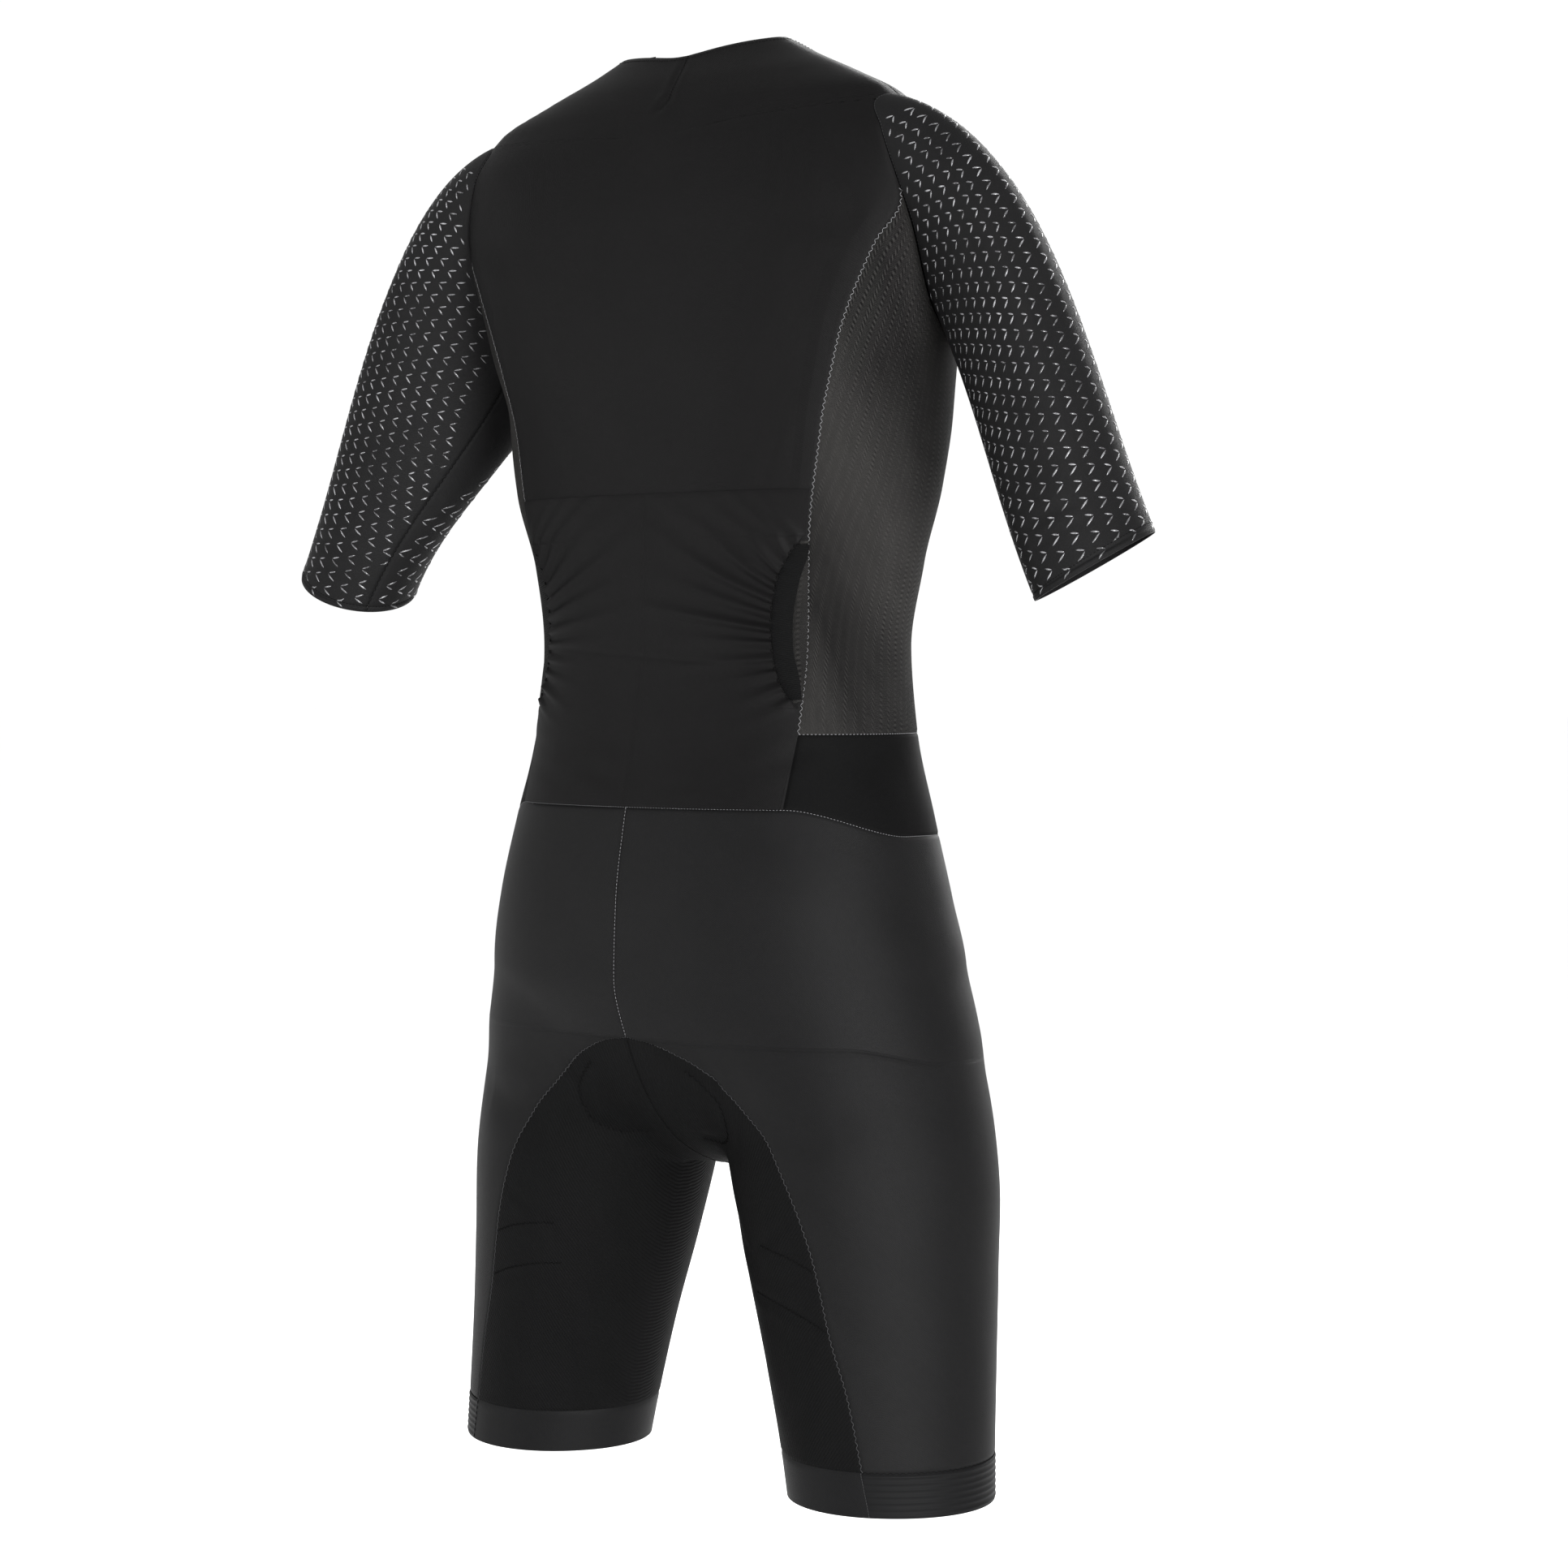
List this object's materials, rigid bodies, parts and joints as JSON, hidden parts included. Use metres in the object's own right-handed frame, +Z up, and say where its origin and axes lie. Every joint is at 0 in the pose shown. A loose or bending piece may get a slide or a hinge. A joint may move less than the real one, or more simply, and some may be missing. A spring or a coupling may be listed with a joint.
{
  "type": "triathlon suit",
  "caption": "Worn-form hollow short-sleeved triathlon suit with front zip, gathered rear pocket, textured side panels and ribbed leg grippers.",
  "frame": {"origin": "on the body's middle plane between the shoulders that hold the suit up, at the height of the neck base", "axes": "+Z up, -Y the way the wearer faces, +X towards the wearer's left"},
  "size_m": [0.7096, 0.2287, 0.9548],
  "materials": {
    "body_cloth": "charcoal stretch knit with a soft sheen",
    "side_knit": "lighter grey textured knit",
    "side_insert": "plain near-black stretch cloth",
    "shorts_cloth": "charcoal compressive cloth with a satin sheen",
    "rib_cloth": "near-black finely ribbed knit",
    "hem_elastic": "ribbed grip elastic",
    "pocket_elastic": "flat woven elastic",
    "zip_tape": "woven zip tape",
    "zip_metal": "dark satin metal"
  },
  "bodies": {
    "suit": {"back_panel": "body_cloth", "front_panel_left": "body_cloth", "front_panel_right": "body_cloth", "side_panel_left": "side_knit", "side_panel_right": "side_knit", "side_waist_left": "side_insert", "side_waist_right": "side_insert", "sleeve_left": "body_cloth", "sleeve_right": "body_cloth", "leg_outer_left": "shorts_cloth", "leg_outer_right": "shorts_cloth", "inner_panel_left": "rib_cloth", "inner_panel_right": "rib_cloth", "hem_band_left": "hem_elastic", "hem_band_right": "hem_elastic", "hem_inner_left": "hem_elastic", "hem_inner_right": "hem_elastic", "pocket_panel": "body_cloth", "pocket_band_left": "pocket_elastic", "pocket_band_right": "pocket_elastic", "zip_tape_left": "zip_tape", "zip_tape_right": "zip_tape", "zip_slider": "zip_metal"},
    "pull_tab": {"zip_pull": "zip_metal"}
  },
  "joints": [
    {"name": "pull_tab_hinge", "type": "hinge", "parent": "suit", "child": "pull_tab", "pos_m": [0, -0.08222, -0.07707], "axis": [-1, 0, 0], "range_deg": [0, 160]}
  ]
}
